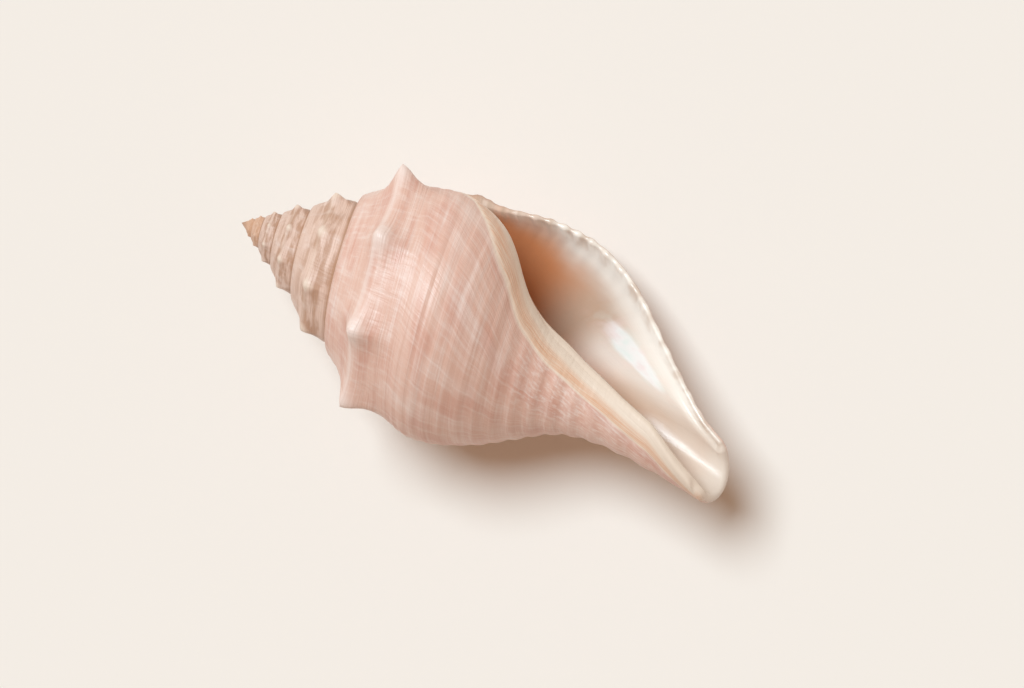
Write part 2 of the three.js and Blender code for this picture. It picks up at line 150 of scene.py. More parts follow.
# How the shell grows -------------------------------------------------------------------------------------------
@dataclass(frozen=True)
class GrowthForm:
    """Shape of the growing shell in millimetres, on its coiling axis: apex at zero, canal along +Z."""

    growth: float = 1.66
    suture: tuple[float, float] = (30.0, 49.5)
    start_turn: float = -1.0
    start_outline: Steps = (
        (20.6, 30.9), (23, 33.4), (25.1, 36.7), (27.7, 40.5), (28.9, 44.8), (30, 49.5), (31.5, 57.6), (30.3, 67.5),
        (26.2, 77.4), (17.6, 87), (11.2, 97.5), (9, 109.5), (9, 121.5), (9.5, 137), (10, 156),
    )
    back_turn: float = -0.5
    back_outline: Steps = (
        (26, 39.6), (28.7, 43.3), (31.4, 47.7), (34.2, 52.6), (36, 58.2), (37.8, 63.3), (39.6, 69), (39.2, 75.6),
        (36, 84), (30.7, 93.6), (24.6, 103.2), (18.6, 113.4), (14.7, 126), (12.3, 143), (11, 163.5),
    )
    lip_outline: Steps = (
        (33, 51), (35.7, 54.3), (37.5, 59.1), (38.7, 64.5), (39.9, 70.5), (41.4, 77.4), (43.4, 85.2), (44.4, 93.6),
        (44.3, 102), (41.4, 111.6), (35.8, 121), (27.4, 131), (19, 141.6), (13.1, 151), (10.2, 159.6),
    )
    upper_spans: int = 6
    opening: Steps = ((1, 0), (1.12, 8), (1.25, 20), (1.38, 38), (1.5, 66), (1.62, 88), (1.75, 107), (1.89, 128), (2, 182))
    fold: Steps = ((1, 1), (1.25, 1), (1.4, 0.88), (1.5, 0.75), (1.6, 0.58), (1.7, 0.35), (1.82, 0.19), (2, 0.17))
    lip_azimuth: float = -32.0
    lip_lean: float = 14.0
    lip_flare: float = 1.2
    canal_bend: float = 16.2
    bend_start: float = 75.0
    bend_length: float = 90.0
    bend_power: float = 1.35
    upper_wall: float = 2.2
    base_wall: float = 3.4
    lip_share: float = 0.55
    corner_across: float = 1.045
    corner_blend: float = 0.14
    outer_reach: Steps = ((0, 2), (0.4, 1.58), (0.6, 1.42), (1, 1.3))
    inner_reach: Steps = ((0, 2), (0.4, 1.6), (0.7, 1.51), (1, 1.42))
    apex_height: float = 0.6
    slope_step: float = 1e-3

    def stage(self, outline: Steps, turn: float) -> np.ndarray:
        """One outline at the size it would have at the lip, with its suture point in front.

        Args:
            outline: the (radius, height) points.
            turn: the turn at which the outline is measured.

        Returns:
            The points as an array.
        """
        return np.vstack([self.suture, np.array(outline) / self.growth**turn])

    def profile(self, turn: np.ndarray, across: np.ndarray) -> tuple[np.ndarray, np.ndarray]:
        """Radius and height of the smooth outside.

        Args:
            turn: 0 at the lip, -1 one whorl back.
            across: 0 at the suture, 1 at the level of the next suture, 2 at the canal end.

        Returns:
            Radius and height for each pair.
        """
        turn, across = np.broadcast_arrays(np.asarray(turn, float), np.asarray(across, float))
        spans = len(self.lip_outline)
        upper = self.upper_spans
        place = np.where(across <= 1, across * upper, upper + (across - 1) * (spans - upper)) / spans
        start = read_curve(self.stage(self.start_outline, self.start_turn), place)
        back = read_curve(self.stage(self.back_outline, self.back_turn), place)
        lip = read_curve(self.stage(self.lip_outline, 0.0), place)
        share = np.clip(turn + 1, 0.0, 1.0)[..., None]
        middle = 2 * back - 0.5 * (start + lip)
        shape = (1 - share) ** 2 * start + 2 * share * (1 - share) * middle + share**2 * lip
        shape = shape * (self.growth**turn)[..., None]
        flare = self.lip_flare * ease(-0.1, 0, turn) * ease(0.5, 1.2, across) * (1 - ease(1.7, 2, across))
        return shape[..., 0] + flare, shape[..., 1]

    def azimuth(self, turn: np.ndarray, across: np.ndarray) -> np.ndarray:
        """Degrees round the axis, growing with the turn.

        Args:
            turn: 0 at the lip, -1 one whorl back.
            across: place across the whorl.

        Returns:
            The azimuth for each pair.
        """
        lean = self.lip_lean * (1 - ease(0, 0.9, across)) * ease(-0.25, 0, turn)
        return self.lip_azimuth + lean + turn * (FULL_TURN - read_steps(self.opening, across))

    def canal_offset(self, height: np.ndarray) -> np.ndarray:
        """Sideways offset of the canal.

        Args:
            height: distance from the apex.

        Returns:
            The offset along the shell's own X.
        """
        return -self.canal_bend * np.maximum(0.0, (height - self.bend_start) / self.bend_length) ** self.bend_power

    def polar(self, radius: np.ndarray, height: np.ndarray, degrees: np.ndarray) -> np.ndarray:
        """Points from radius, height and azimuth.

        Args:
            radius: distance from the axis.
            height: distance from the apex.
            degrees: azimuth.

        Returns:
            One point to a row.
        """
        angle = np.radians(degrees)
        return np.stack([radius * np.cos(angle) + self.canal_offset(height), radius * np.sin(angle), height], axis=-1)

    def outside(self, turn: np.ndarray, across: np.ndarray) -> np.ndarray:
        """Points of the smooth outside.

        Args:
            turn: 0 at the lip, -1 one whorl back.
            across: place across the whorl.

        Returns:
            One point to a row.
        """
        turn, across = np.broadcast_arrays(np.asarray(turn, float), np.asarray(across, float))
        radius, height = self.profile(turn, across)
        return self.polar(radius, height, self.azimuth(turn, across))

    def wall(self, turn: np.ndarray, across: np.ndarray) -> np.ndarray:
        """Thickness of the shell wall, thinner toward the lip.

        Args:
            turn: 0 at the lip, -1 one whorl back.
            across: place across the whorl.

        Returns:
            The thickness for each place.
        """
        lip = mix(self.lip_share, 1.0, ease(0.0, 0.06, -np.asarray(turn, float)))
        return mix(self.upper_wall, self.base_wall, ease(0.8, 1.5, across)) * lip

    def directions(self, turn: np.ndarray, across: np.ndarray) -> tuple[np.ndarray, np.ndarray, np.ndarray]:
        """Unit directions of growth, down the whorl and into the wall.

        Args:
            turn: 0 at the lip, -1 one whorl back.
            across: place across the whorl.

        Returns:
            Forward, down and inward directions.
        """
        step = self.slope_step
        turn, across = np.broadcast_arrays(np.asarray(turn, float), np.asarray(across, float))
        turn0, across0 = np.minimum(turn, -2 * step), np.minimum(across, 2 - 2 * step)
        forward = unit(self.outside(turn0 + step, across) - self.outside(turn0, across))
        down = unit(self.outside(turn, across0 + step) - self.outside(turn, across0))
        return forward, down, unit(np.cross(down, forward))

    def inner_lip(self, depth: np.ndarray, rim_share: np.ndarray, across: np.ndarray) -> np.ndarray:
        """Inner lip surface, turning over the previous whorl, the columella or the canal edge.

        Args:
            depth: turns behind the lip.
            rim_share: 0 on the outside of the edge, 1 on its inside.
            across: place across the whorl.

        Returns:
            One point to a row.
        """
        depth, rim_share, across = np.broadcast_arrays(*(np.asarray(v, float) for v in (depth, rim_share, across)))
        radius, height = self.profile(np.full_like(across, self.start_turn), across)
        fold = radius * read_steps(self.fold, across)
        edge = self.azimuth(np.full_like(across, self.start_turn), across)
        canal = ease(1.5, 1.85, across)
        coil = FULL_TURN * depth + read_steps(self.opening, across) * ease(0, 0.6, depth)
        angle = np.radians(edge - (180 * rim_share * canal + (1 - canal) * coil))
        point = self.polar(radius - fold, height, edge)
        point[..., 0] += fold * np.cos(angle)
        point[..., 1] += fold * np.sin(angle)
        settling = 1 - 0.65 * ease(1.1, 1.5, across)
        return point * (self.growth ** (-depth * settling * (1 - canal)))[..., None]

    def inner_wall(self, turn: np.ndarray, across: np.ndarray) -> np.ndarray:
        """Inside of the outer wall.

        Args:
            turn: 0 at the lip, -1 one whorl back.
            across: place across the whorl.

        Returns:
            One point to a row.
        """
        inward = self.directions(turn, across)[2]
        return self.outside(turn, across) + inward * self.wall(turn, across)[..., None]

    def rim(self, turn: np.ndarray, across: np.ndarray, share: float, swing: np.ndarray) -> np.ndarray:
        """Points over the rounded rim.

        Args:
            turn: 0 at the lip, -1 one whorl back.
            across: place across the whorl.
            share: 0 on the outside, 1 on the inside.
            swing: degrees by which the rounding turns from growth toward the canal end.

        Returns:
            One point to a row.
        """
        forward, down, inward = self.directions(turn, across)
        angle = np.radians(swing)[..., None]
        out = unit(forward * np.cos(angle) + down * np.sin(angle))
        half = (self.wall(turn, across) / 2)[..., None]
        arc = math.pi * share
        return self.outside(turn, across) + inward * half * (1 - math.cos(arc)) + out * half * math.sin(arc)


# Laying out the skin -------------------------------------------------------------------------------------------
class Zone(Enum):
    """Parts of a loop round the mouth."""

    LIP = "outer lip"
    TIP = "canal end"
    INNER = "inner lip"


@dataclass
class SkinPoints:
    """Points of the skin with what the tree and the finish need to know about each."""

    place: list[np.ndarray] = field(default_factory=list)
    turn: list[np.ndarray] = field(default_factory=list)
    across: list[np.ndarray] = field(default_factory=list)
    outer: list[np.ndarray] = field(default_factory=list)
    inner: list[np.ndarray] = field(default_factory=list)
    depth: list[np.ndarray] = field(default_factory=list)
    count: int = 0

    def add(self, place: np.ndarray, **values: np.ndarray) -> np.ndarray:
        """Adds points.

        Args:
            place: one point to a row.
            values: turn, across, outer, inner and depth for each point.

        Returns:
            The numbers of the new points.
        """
        amount = len(place)
        self.place.append(place)
        for name in ("turn", "across", "outer", "inner", "depth"):
            getattr(self, name).append(np.broadcast_to(np.asarray(values[name], float), (amount,)))
        numbers = np.arange(self.count, self.count + amount)
        self.count += amount
        return numbers


@dataclass
class SkinLayout:
    """Closed skin of the shell as a grid of points that follows its growth."""

    form: GrowthForm
    earliest_turn: int = -6
    columns: int = 208
    spire_rows: int = 24
    base_rows: int = 110
    rim_steps: int = 8
    first_hollow: float = 0.92
    first_loops: int = 34
    spire_hollow: float = 1.9
    loops_per_turn: int = 14
    points: SkinPoints = field(default_factory=SkinPoints)
    faces: list[np.ndarray] = field(default_factory=list)
    corners: list[np.ndarray] = field(default_factory=list)

    @property
    def rows(self) -> int:
        """Rows from the suture to the canal end."""
        return self.spire_rows + self.base_rows

    def across_of(self, row: np.ndarray) -> np.ndarray:
        """Place across the whorl of a row.

        Args:
            row: row numbers.

        Returns:
            0 to 2.
        """
        row = np.asarray(row, float)
        return np.where(row <= self.spire_rows, row / self.spire_rows, 1 + (row - self.spire_rows) / self.base_rows)

    def add_quads(self, a: np.ndarray, b: np.ndarray, c: np.ndarray, d: np.ndarray) -> None:
        """Four-sided faces that look outward.

        Args:
            a: this column, this row.
            b: this column, next row.
            c: next column, this row.
            d: next column, next row.
        """
        self.faces.append(np.stack([a, c, d, b], axis=-1))

    def add_outside(self) -> tuple[np.ndarray, np.ndarray, np.ndarray]:
        """Lays out the outside, each whorl sharing its lower edge with the next one.

        Returns:
            Point numbers of the lip edge, of the canal end from the lip back, and of the inner lip edge.
        """
        form, total = self.form, -self.earliest_turn * self.columns
        body = total - self.columns
        grid: list[np.ndarray] = [np.empty(0, int)] * (total + 1)
        for column in range(total, -1, -1):
            turn = (column - total) / self.columns
            last = self.rows if column >= body else self.spire_rows
            across = self.across_of(np.arange(last + 1))
            shared = column <= body
            own = np.delete(across, self.spire_rows) if shared else across
            numbers = self.points.add(
                form.outside(np.full(len(own), turn), own), turn=turn, across=own, outer=1.0, inner=0.0, depth=0.0
            )
            if shared:
                numbers = np.insert(numbers, self.spire_rows, grid[column + self.columns][0])
            grid[column] = numbers
        for column in range(total):
            rows = self.rows if column >= body else self.spire_rows
            near, far = grid[column], grid[column + 1]
            if column < body:
                near, far = near[: rows + 1], far[: rows + 1]
            self.add_quads(near[:rows], near[1 : rows + 1], far[:rows], far[1 : rows + 1])
        self.close_apex(grid)
        tip = np.array([grid[total - 1 - i][self.rows] for i in range(self.columns)])
        inner = grid[body][self.rows - 1 : self.spire_rows : -1]
        return grid[total], tip, inner

    def close_apex(self, grid: list[np.ndarray]) -> None:
        """Closes the tip of the spire with a fan.

        Args:
            grid: point numbers by column and row.
        """
        apex = self.points.add(
            np.array([[0.0, 0.0, self.form.apex_height]]), turn=self.earliest_turn, across=0.0, outer=1.0, inner=0.0, depth=0.0
        )[0]
        ring = [grid[column][0] for column in range(self.columns + 1)]
        side = list(grid[0][: self.spire_rows + 1])
        fan = [(ring[i + 1], ring[i], apex) for i in range(self.columns)]
        fan += [(side[i], side[i + 1], apex) for i in range(self.spire_rows)]
        self.faces.append(np.array(fan))

    def loop_zones(self) -> dict[Zone, np.ndarray]:
        """Places of the points of one loop round the mouth.

        Returns:
            For the two lips the place across, and for the canal end the share from the outer to the inner lip.
        """
        return {
            Zone.LIP: self.across_of(np.arange(self.rows + 1)),
            Zone.TIP: (np.arange(self.columns) + 1) / self.columns,
            Zone.INNER: self.across_of(self.rows - 1 - np.arange(self.base_rows - 1)),
        }

    def add_loop(self, parts: dict[Zone, np.ndarray], depth: float, outer: float) -> np.ndarray:
        """Adds one loop of points.

        Args:
            parts: points of each zone.
            depth: turns behind the lip.
            outer: 1 on the outside of the rim and 0 from its inside on.

        Returns:
            The point numbers.
        """
        zones, add, start = self.loop_zones(), self.points.add, self.form.start_turn
        along = zones[Zone.TIP]
        lip = add(parts[Zone.LIP], turn=-depth, across=zones[Zone.LIP], outer=outer, inner=0.0, depth=depth)
        tip = add(parts[Zone.TIP], turn=-along - depth, across=2.0, outer=outer, inner=along, depth=depth)
        inner = add(parts[Zone.INNER], turn=start - depth, across=zones[Zone.INNER], outer=outer, inner=1.0, depth=depth)
        return np.concatenate([lip, tip, inner])

    def rim_loop(self, share: float) -> dict[Zone, np.ndarray]:
        """Points of a loop over the rounded rim.

        Args:
            share: share of the rounding, 0 outside and 1 inside.

        Returns:
            The points of each zone.
        """
        form, zones = self.form, self.loop_zones()
        across, along, low = zones[Zone.LIP], zones[Zone.TIP], zones[Zone.INNER]
        lip = form.rim(np.zeros_like(across), across, share, 45 * ease(1.8, 2, across))
        corner = mix(form.outside(0.0, 0.0), form.inner_lip(0.0, 1.0, form.corner_across), share)
        lip = mix(corner, lip, ease(0, form.corner_blend, across)[:, None])
        swing = 45 + 45 * ease(0, 0.15, along) + 90 * ease(0.8, 1, along)
        tip = form.rim(-along, np.full_like(along, 2.0), share, swing)
        inner = form.inner_lip(0.0, share, mix(form.corner_across, low, ease(1, 1.1, low)))
        return {Zone.LIP: lip, Zone.TIP: tip, Zone.INNER: inner}

    def foot(self, depth: float, along: np.ndarray) -> np.ndarray:
        """Rounded foot of the hollow between the outer wall and the columella.

        Args:
            depth: turns behind the lip.
            along: share from the outer wall to the columella.

        Returns:
            One point to a row.
        """
        form, valley_reach, edge_step = self.form, 1.3, 0.05
        outer, inner = float(read_steps(form.outer_reach, depth)), float(read_steps(form.inner_reach, depth))
        start, end = form.inner_wall(-depth, outer), form.inner_lip(depth, 1.0, inner)
        trough = form.inner_wall(mix(-depth, -1.0, along), mix(outer, inner, along))
        trough = trough + (end - form.inner_wall(-1.0, inner)) * ease(0, 1, along)[:, None]
        reach = np.linalg.norm(end - start) * valley_reach
        leave = form.directions(-depth, outer)[1] * reach
        arrive = unit(form.inner_lip(depth, 1.0, inner - edge_step) - end) * reach
        t = along[:, None]
        valley = start * (2 * t**3 - 3 * t**2 + 1) + leave * (t**3 - 2 * t**2 + t)
        valley = valley + end * (3 * t**2 - 2 * t**3) + arrive * (t**3 - t**2)
        return mix(trough, valley, ease(0.25, 0.5, depth))

    def hollow_loop(self, depth: float) -> dict[Zone, np.ndarray]:
        """Points of a loop round the hollow.

        Args:
            depth: turns behind the lip.

        Returns:
            The points of each zone.
        """
        form, zones, top = self.form, self.loop_zones(), 0.065
        outer, inner = float(read_steps(form.outer_reach, depth)), float(read_steps(form.inner_reach, depth))
        across = zones[Zone.LIP]
        wall = form.inner_wall(np.full_like(across, -depth), top + (outer - top) * across / 2)
        lip = mix(form.inner_lip(depth, 1.0, form.corner_across), wall, ease(0, form.corner_blend, across)[:, None])
        low = mix(form.corner_across, inner, zones[Zone.INNER] - 1)
        return {Zone.LIP: lip, Zone.TIP: self.foot(depth, zones[Zone.TIP]), Zone.INNER: form.inner_lip(depth, 1.0, low)}

    def carried(self, loop: dict[Zone, np.ndarray], turns: float) -> dict[Zone, np.ndarray]:
        """The same loop further up the coil.

        Args:
            loop: points of each zone.
            turns: how far it is carried.

        Returns:
            The carried points.
        """
        turned = np.array(Matrix.Rotation(-math.tau * turns, 3, "Z")) * self.form.growth**-turns
        return {zone: part @ turned.T for zone, part in loop.items()}

    def add_band(self, near: np.ndarray, far: np.ndarray) -> None:
        """Faces between one closed loop and the next.

        Args:
            near: point numbers of the loop nearer the outside.
            far: point numbers of the next loop.
        """
        self.faces.append(np.stack([near, far, np.roll(far, -1), np.roll(near, -1)], axis=-1))

    def add_inside(self, edge: np.ndarray) -> None:
        """Lays out the rim and the hollow, closed by a fan at its blind end.

        Args:
            edge: point numbers of the open edge of the outside.
        """
        packing, before = 1.25, edge
        for step in range(1, self.rim_steps + 1):
            share = step / self.rim_steps
            numbers = self.add_loop(self.rim_loop(share), 0.0, 1 - share)
            self.add_band(before, numbers)
            before = numbers
        depths = self.first_hollow * ((np.arange(self.first_loops) + 1) / self.first_loops) ** packing
        for depth in depths:
            loop = self.hollow_loop(float(depth))
            numbers = self.add_loop(loop, float(depth), 0.0)
            self.add_band(before, numbers)
            before = numbers
        for step in range(1, round(self.spire_hollow * self.loops_per_turn) + 1):
            turns = step / self.loops_per_turn
            last = self.carried(loop, turns)
            numbers = self.add_loop(last, self.first_hollow + turns, 0.0)
            self.add_band(before, numbers)
            before = numbers
        middle = np.vstack(list(last.values())).mean(axis=0, keepdims=True)
        end_depth = self.first_hollow + self.spire_hollow
        end = self.points.add(middle, turn=-end_depth, across=1.0, outer=0.0, inner=0.5, depth=end_depth)[0]
        self.faces.append(np.stack([np.roll(before, -1), before, np.full(len(before), end)], axis=-1))

    def uncoiled(self, points: np.ndarray, turn: np.ndarray, across: np.ndarray) -> np.ndarray:
        """Points as azimuth in turns, radius and height at lip size.

        Args:
            points: points on the coiling axis.
            turn: turn of each point.
            across: place across of each point.

        Returns:
            One uncoiled place to a row.
        """
        x = points[:, 0] - self.form.canal_offset(points[:, 2])
        size = self.form.growth**turn
        angle = np.degrees(np.arctan2(points[:, 1], x))
        angle += FULL_TURN * np.round((self.form.azimuth(turn, across) - angle) / FULL_TURN)
        return np.stack([angle / FULL_TURN, np.hypot(x, points[:, 1]) / size, points[:, 2] / size], axis=-1)

    def build(self, name: str) -> bpy.types.Object:
        """Makes the uncoiled skin as a mesh object with its attributes.

        Args:
            name: name of the object.

        Returns:
            The object, linked to the scene.
        """
        edge = self.add_outside()
        self.add_inside(np.concatenate(edge))
        points = np.vstack(self.points.place)
        turn, across = np.concatenate(self.points.turn), np.concatenate(self.points.across)
        mesh = bpy.data.meshes.new(name)
        faces = [face.tolist() for block in self.faces for face in block]
        mesh.from_pydata(self.uncoiled(points, turn, across).tolist(), [], faces)
        values = {
            "turn": turn,
            "across": across,
            "outer": np.concatenate(self.points.outer),
            "inner": np.concatenate(self.points.inner),
            "depth": np.concatenate(self.points.depth),
        }
        for key, data in values.items():
            mesh.attributes.new(key, "FLOAT", "POINT").data.foreach_set("value", data.astype(np.float32))
        self.add_patterns(mesh, turn, across)
        mesh.shade_smooth()
        skin = bpy.data.objects.new(name, mesh)
        bpy.context.scene.collection.objects.link(skin)
        return skin

    def add_patterns(self, mesh: bpy.types.Mesh, turn: np.ndarray, across: np.ndarray) -> None:
        """Turn and place across at each face corner, so a pattern runs right up to the suture it shares.

        Args:
            mesh: the uncoiled skin.
            turn: turn of each point.
            across: place across of each point.
        """
        corner = np.empty(len(mesh.loops), dtype=np.int64)
        mesh.loops.foreach_get("vertex_index", corner)
        starts = np.empty(len(mesh.polygons), dtype=np.int64)
        mesh.polygons.foreach_get("loop_start", starts)
        owner = np.repeat(starts, np.diff(np.append(starts, len(corner))))
        top = np.maximum.reduceat(across[corner], starts)
        early = np.minimum.reduceat(turn[corner], starts)
        index = np.searchsorted(starts, owner)
        over = (across[corner] < 0.5) & (turn[corner] > early[index] + 0.5) & (top[index] > 0.5)
        mesh.attributes.new("grow", "FLOAT", "CORNER").data.foreach_set(
            "value", np.where(over, turn[corner] - 1.0, turn[corner]).astype(np.float32))
        mesh.attributes.new("down", "FLOAT", "CORNER").data.foreach_set(
            "value", np.where(over, 1.0, across[corner]).astype(np.float32))


# Node trees as formulas ----------------------------------------------------------------------------------------
Value = "bpy.types.NodeSocket | float"


class Graph:
    """Writes a node tree as formulas."""

    def __init__(self, tree: bpy.types.NodeTree) -> None:
        """Starts with an empty tree.

        Args:
            tree: the tree to fill.
        """
        self.tree = tree
        tree.nodes.clear()

    def node(self, kind: str, **settings: object) -> bpy.types.Node:
        """Adds a node.

        Args:
            kind: the node's type.
            settings: its properties.

        Returns:
            The node.
        """
        made = self.tree.nodes.new(kind)
        for key, value in settings.items():
            setattr(made, key, value)
        return made

    def feed(self, value: object, socket: bpy.types.NodeSocket) -> None:
        """Links a socket, or sets its value.

        Args:
            value: an output socket or a plain value.
            socket: the input socket.
        """
        if isinstance(value, bpy.types.NodeSocket):
            self.tree.links.new(value, socket)
        else:
            socket.default_value = value

    def math(self, operation: str, *values: Value) -> bpy.types.NodeSocket:
        """One step of arithmetic.

        Args:
            operation: the Math node's operation.
            values: what it works on.

        Returns:
            The result.
        """
        made = self.node("ShaderNodeMath", operation=operation)
        for value, socket in zip(values, made.inputs):
            self.feed(value, socket)
        return made.outputs[0]

    def add(self, *values: Value) -> Value:
        """Sum of all values.

        Args:
            values: the values.

        Returns:
            Their sum.
        """
        total = values[0]
        for value in values[1:]:
            total = self.math("ADD", total, value)
        return total

    def times(self, *values: Value) -> Value:
        """Product of all values.

        Args:
            values: the values.

        Returns:
            Their product.
        """
        total = values[0]
        for value in values[1:]:
            total = self.math("MULTIPLY", total, value)
        return total

    def ease(self, start: Value, end: Value, value: Value) -> bpy.types.NodeSocket:
        """Smooth step from 0 at start to 1 at end.

        Args:
            start: where the step begins.
            end: where it is complete.
            value: where to read it.

        Returns:
            The step.
        """
        made = self.node("ShaderNodeMapRange", interpolation_type="SMOOTHSTEP")
        self.feed(value, made.inputs["Value"])
        self.feed(start, made.inputs["From Min"])
        self.feed(end, made.inputs["From Max"])
        return made.outputs[0]

    def rest(self, value: Value) -> bpy.types.NodeSocket:
        """What is left to 1.

        Args:
            value: a share.

        Returns:
            1 minus the share.
        """
        return self.math("SUBTRACT", 1.0, value)

    def hill(self, value: Value, middle: Value, half_width: Value) -> bpy.types.NodeSocket:
        """Bell curve, 1 at the middle.

        Args:
            value: where to read it.
            middle: where it is highest.
            half_width: distance at which it has fallen to about a third.

        Returns:
            The curve's height.
        """
        away = self.math("DIVIDE", self.math("SUBTRACT", value, middle), half_width)
        return self.math("EXPONENT", self.times(self.times(away, away), -1.0))

    def peak(self, away: Value, half_width: Value) -> bpy.types.NodeSocket:
        """Pointed hill, 1 at its tip.

        Args:
            away: distance from the tip.
            half_width: distance at which it has fallen to about a third.

        Returns:
            The hill's height.
        """
        pointed = 1.4
        return self.math("EXPONENT", self.times(self.math("POWER", self.math("DIVIDE", away, half_width), pointed), -1.0))

    def between(self, a: Value, b: Value, share: Value) -> bpy.types.NodeSocket:
        """Value between a at share 0 and b at share 1.

        Args:
            a: value at share 0.
            b: value at share 1.
            share: how far to go from a to b.

        Returns:
            The value in between.
        """
        made = self.node("ShaderNodeMix", data_type="FLOAT")
        for value, socket in zip((share, a, b), (made.inputs[0], made.inputs[2], made.inputs[3])):
            self.feed(value, socket)
        return made.outputs[0]

    def vector(self, x: Value, y: Value, z: Value = 0.0) -> bpy.types.NodeSocket:
        """A vector from its parts.

        Args:
            x: first part.
            y: second part.
            z: third part.

        Returns:
            The vector.
        """
        made = self.node("ShaderNodeCombineXYZ")
        for value, socket in zip((x, y, z), made.inputs):
            self.feed(value, socket)
        return made.outputs[0]

    def noise(self, place: Value, scale: float, detail: float = 2.0, roughness: float = 0.5) -> bpy.types.NodeSocket:
        """Noise, mostly between 0.3 and 0.7.

        Args:
            place: where to read it.
            scale: its fineness.
            detail: how many finer layers it has.
            roughness: how strong those are.

        Returns:
            The noise.
        """
        made = self.node("ShaderNodeTexNoise")
        self.feed(place, made.inputs["Vector"])
        for value, key in ((scale, "Scale"), (detail, "Detail"), (roughness, "Roughness")):
            made.inputs[key].default_value = value
        return made.outputs[0]


def callus_share(graph: Graph, grow: Value, down: Value) -> bpy.types.NodeSocket:
    """How far a place lies into the callus that the inner lip spreads over the body.

    Args:
        graph: the tree.
        grow: turn of the place.
        down: place across of it.

    Returns:
        0 at the callus's border, 1 at the edge of the mouth, less than 0 on the bare body.
    """
    top_width, full_width, mouth_edge = 0.07, 0.16, -1.0
    width = graph.between(top_width, full_width, graph.ease(1.05, 1.35, down))
    return graph.math("DIVIDE", graph.math("SUBTRACT", graph.add(width, mouth_edge), grow), width)


# The coil ------------------------------------------------------------------------------------------------------
@dataclass(frozen=True)
class Relief:
    """Sizes of what stands out of the smooth shell, in millimetres at lip size."""

    knobs_per_turn: int = 8
    knob_phase: float = 0.3
    knob_height: float = 6.6
    knob_sizes: tuple[float, ...] = (0.9, 1.17, 0.89, 0.75, 1.1, 1.1, 1.1, 1.65)
    knob_across: float = 0.62
    knob_above: float = 0.10
    knob_below: float = 0.19
    knob_half_length: float = 0.18
    knob_lean: float = 0.2
    ridge_height: float = 1.9
    fold_height: float = 0.7
    seam_step: float = 0.8
    cord_depth: float = 0.13
    cord_count: float = 17.0
    callus_height: float = 0.45
    pleat_height: float = 0.22
    pleats: float = 30.0
    seed: int = 7


